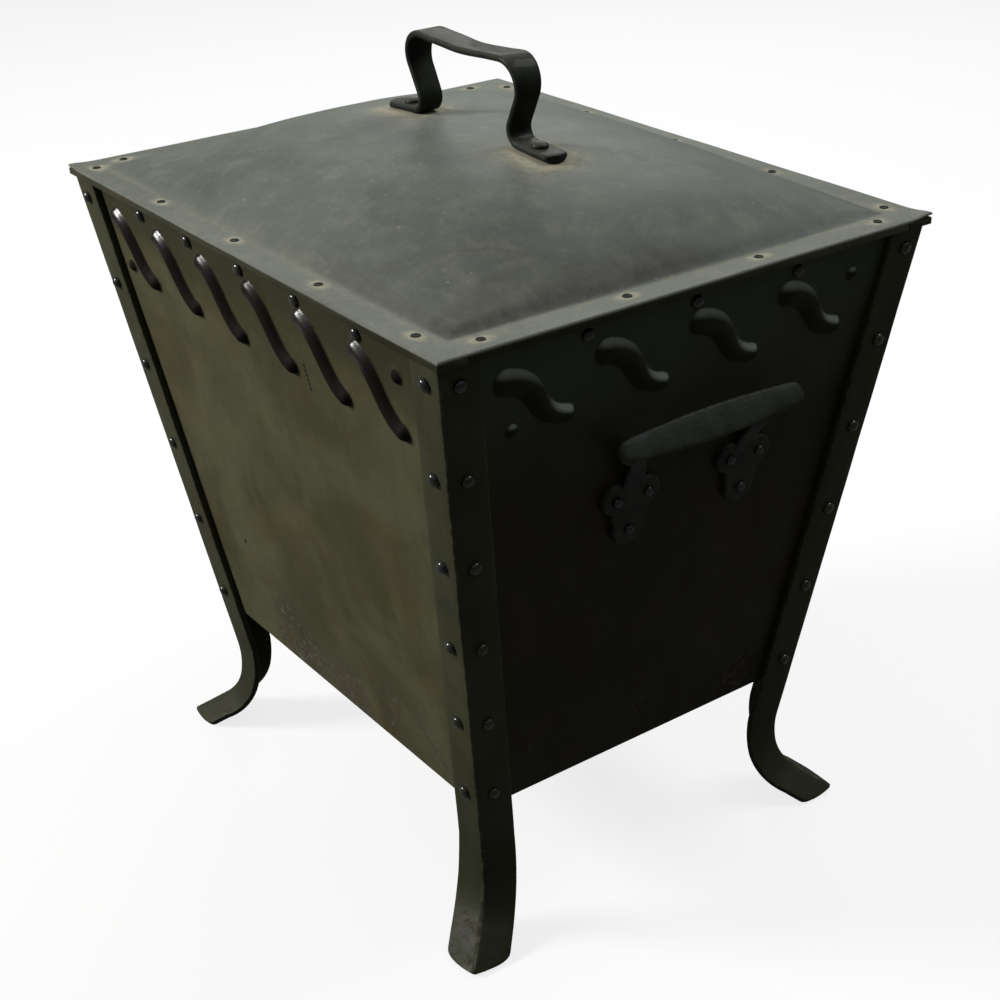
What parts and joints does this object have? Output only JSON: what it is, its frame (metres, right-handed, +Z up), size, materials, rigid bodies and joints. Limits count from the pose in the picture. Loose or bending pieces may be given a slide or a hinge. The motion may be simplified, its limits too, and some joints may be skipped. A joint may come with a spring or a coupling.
{
  "type": "coal box",
  "caption": "Flared sheet-iron coal box with riveted angle-iron corner posts that curl out as feet, S-shaped ribs, side handles and a domed lift-off lid with a strap handle.",
  "frame": {"origin": "centre of the box's footprint at the ground, on which the four feet stand", "axes": "+X to the right of the wide front panel, -Y out of the front, +Z up"},
  "size_m": [0.4434, 0.344, 0.5108],
  "materials": {
    "panel_paint": "worn satin",
    "frame_paint": "worn satin",
    "lid_paint": "dusty satin",
    "handle_iron": "forged and blackened",
    "rivet_iron": "semi-gloss",
    "inside_iron": "sooty matte"
  },
  "bodies": {
    "box": {"front_panel": "panel_paint", "right_panel": "panel_paint", "back_panel": "panel_paint", "left_panel": "panel_paint", "floor_plate": "inside_iron", "post_front_right": "frame_paint", "post_front_left": "frame_paint", "post_back_right": "frame_paint", "post_back_left": "frame_paint", "rim_bar_front": "inside_iron", "rim_bar_right": "inside_iron", "rim_bar_back": "inside_iron", "rim_bar_left": "inside_iron", "post_rivets_front_right": "rivet_iron", "post_rivets_front_left": "rivet_iron", "post_rivets_back_right": "rivet_iron", "post_rivets_back_left": "rivet_iron", "rim_rivets_front": "rivet_iron", "rim_rivets_right": "rivet_iron", "rim_rivets_back": "rivet_iron", "rim_rivets_left": "rivet_iron", "side_handle_right": "handle_iron", "side_handle_left": "handle_iron", "side_handle_rivets_right": "rivet_iron", "side_handle_rivets_left": "rivet_iron"},
    "lid": {"lid_sheet": "lid_paint", "lid_bar_front": "frame_paint", "lid_bar_back": "frame_paint", "lid_bar_right": "frame_paint", "lid_bar_left": "frame_paint", "lid_border_rivets": "rivet_iron", "lid_handle": "handle_iron", "lid_handle_rivets": "rivet_iron"}
  },
  "joints": [
    {"name": "lid_lift", "type": "slide", "parent": "box", "child": "lid", "axis": [0, 0, 1], "range_m": [0, 0.16]}
  ]
}
